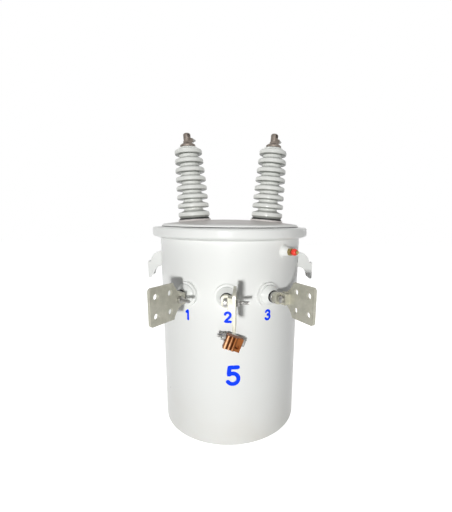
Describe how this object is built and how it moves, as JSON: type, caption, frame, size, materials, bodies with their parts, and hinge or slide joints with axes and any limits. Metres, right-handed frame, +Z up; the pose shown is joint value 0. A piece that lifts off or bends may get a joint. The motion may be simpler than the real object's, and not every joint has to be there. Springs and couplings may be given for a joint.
{
  "type": "pole mounted transformer",
  "caption": "Round oil-filled pole transformer with a clamped lid, shed porcelain bushings on top, spade pads in front, lifting lugs and rear pole brackets.",
  "frame": {"origin": "centre of the tank's base, on the floor", "axes": "+Z up along the tank, -Y towards the low-voltage front, +Y towards the pole"},
  "size_m": [0.5068, 0.6388, 0.8578],
  "materials": {
    "tank_paint": "gloss",
    "porcelain": "gloss",
    "rubber": "matte",
    "tinned": "satin",
    "bronze": "satin",
    "steel": "satin",
    "copper": "satin",
    "brass": "satin",
    "red_ring": "gloss"
  },
  "bodies": {
    "root": {"tank_wall": "tank_paint", "tank_bottom": "tank_paint", "lid": "tank_paint", "cover_band": "tank_paint", "band_bolt": "steel", "ground_boss": "tank_paint", "ground_clamp": "copper", "ground_bolt": "steel", "relief_boss": "tank_paint", "relief_valve": "brass", "relief_ring": "red_ring", "lifting_lug_left": "tank_paint", "lifting_lug_right": "tank_paint", "upper_hanger": "tank_paint", "lower_hanger": "tank_paint", "hv_gasket_left": "rubber", "hv_bushing_left": "porcelain", "hv_seal_left": "rubber", "hv_cap_left": "bronze", "hv_terminal_left": "bronze", "hv_clamp_bolt_left": "steel", "hv_gasket_right": "rubber", "hv_bushing_right": "porcelain", "hv_seal_right": "rubber", "hv_cap_right": "bronze", "hv_terminal_right": "bronze", "hv_clamp_bolt_right": "steel", "lv_boss_left": "tank_paint", "lv_bushing_left": "porcelain", "lv_gasket_left": "rubber", "lv_stud_left": "steel", "lv_spade_left": "tinned", "lv_clamp_bolt_left": "steel", "lv_boss_centre": "tank_paint", "lv_bushing_centre": "porcelain", "lv_gasket_centre": "rubber", "lv_stud_centre": "steel", "lv_spade_centre": "tinned", "lv_clamp_bolt_centre": "steel", "lv_boss_right": "tank_paint", "lv_bushing_right": "porcelain", "lv_gasket_right": "rubber", "lv_stud_right": "steel", "lv_spade_right": "tinned", "lv_clamp_bolt_right": "steel"}
  },
  "joints": []
}
